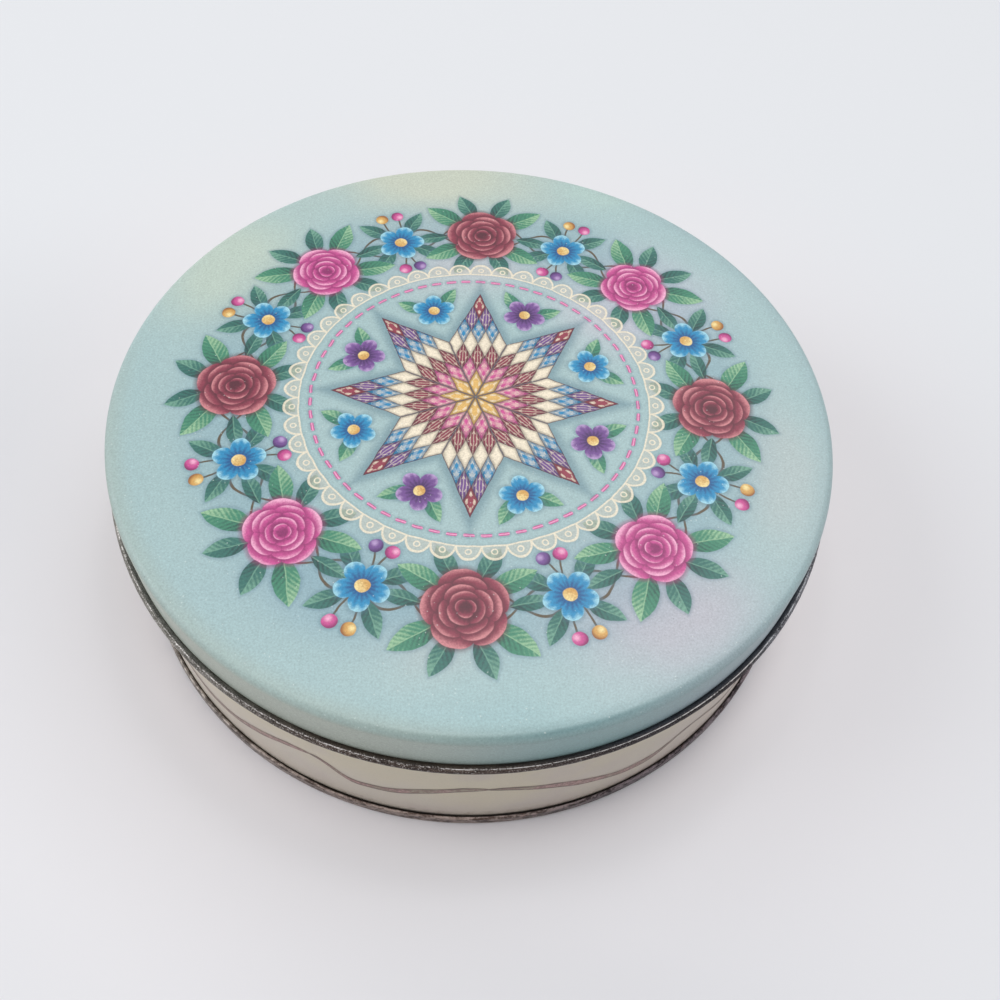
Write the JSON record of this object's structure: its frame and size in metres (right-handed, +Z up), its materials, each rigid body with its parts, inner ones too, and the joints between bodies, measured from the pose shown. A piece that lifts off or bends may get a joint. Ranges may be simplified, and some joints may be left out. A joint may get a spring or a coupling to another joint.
{
  "type": "sewing tin",
  "caption": "Round shallow tin of folded tinplate for sewing things, with a slip-on lid that lifts straight off.",
  "frame": {"origin": "centre of the foot ring, on the surface that the tin stands on", "axes": "+Z up along the tin's axis, towards the lid; the wall's side seam is at +Y, the back"},
  "size_m": [0.1692, 0.1692, 0.0491],
  "materials": {
    "lid_paint": "satin print in pale mint, aqua and lilac grey",
    "wall_paint": "satin cream print",
    "bare_tinplate": "bare tinplate, dulled"
  },
  "bodies": {
    "tin": {"body_wall": "wall_paint", "base_panel": "bare_tinplate"},
    "lid": {"lid": "lid_paint"}
  },
  "joints": [
    {"name": "lid_lift", "type": "slide", "parent": "tin", "child": "lid", "axis": [0, 0, 1], "range_m": [0, 0.06]}
  ]
}
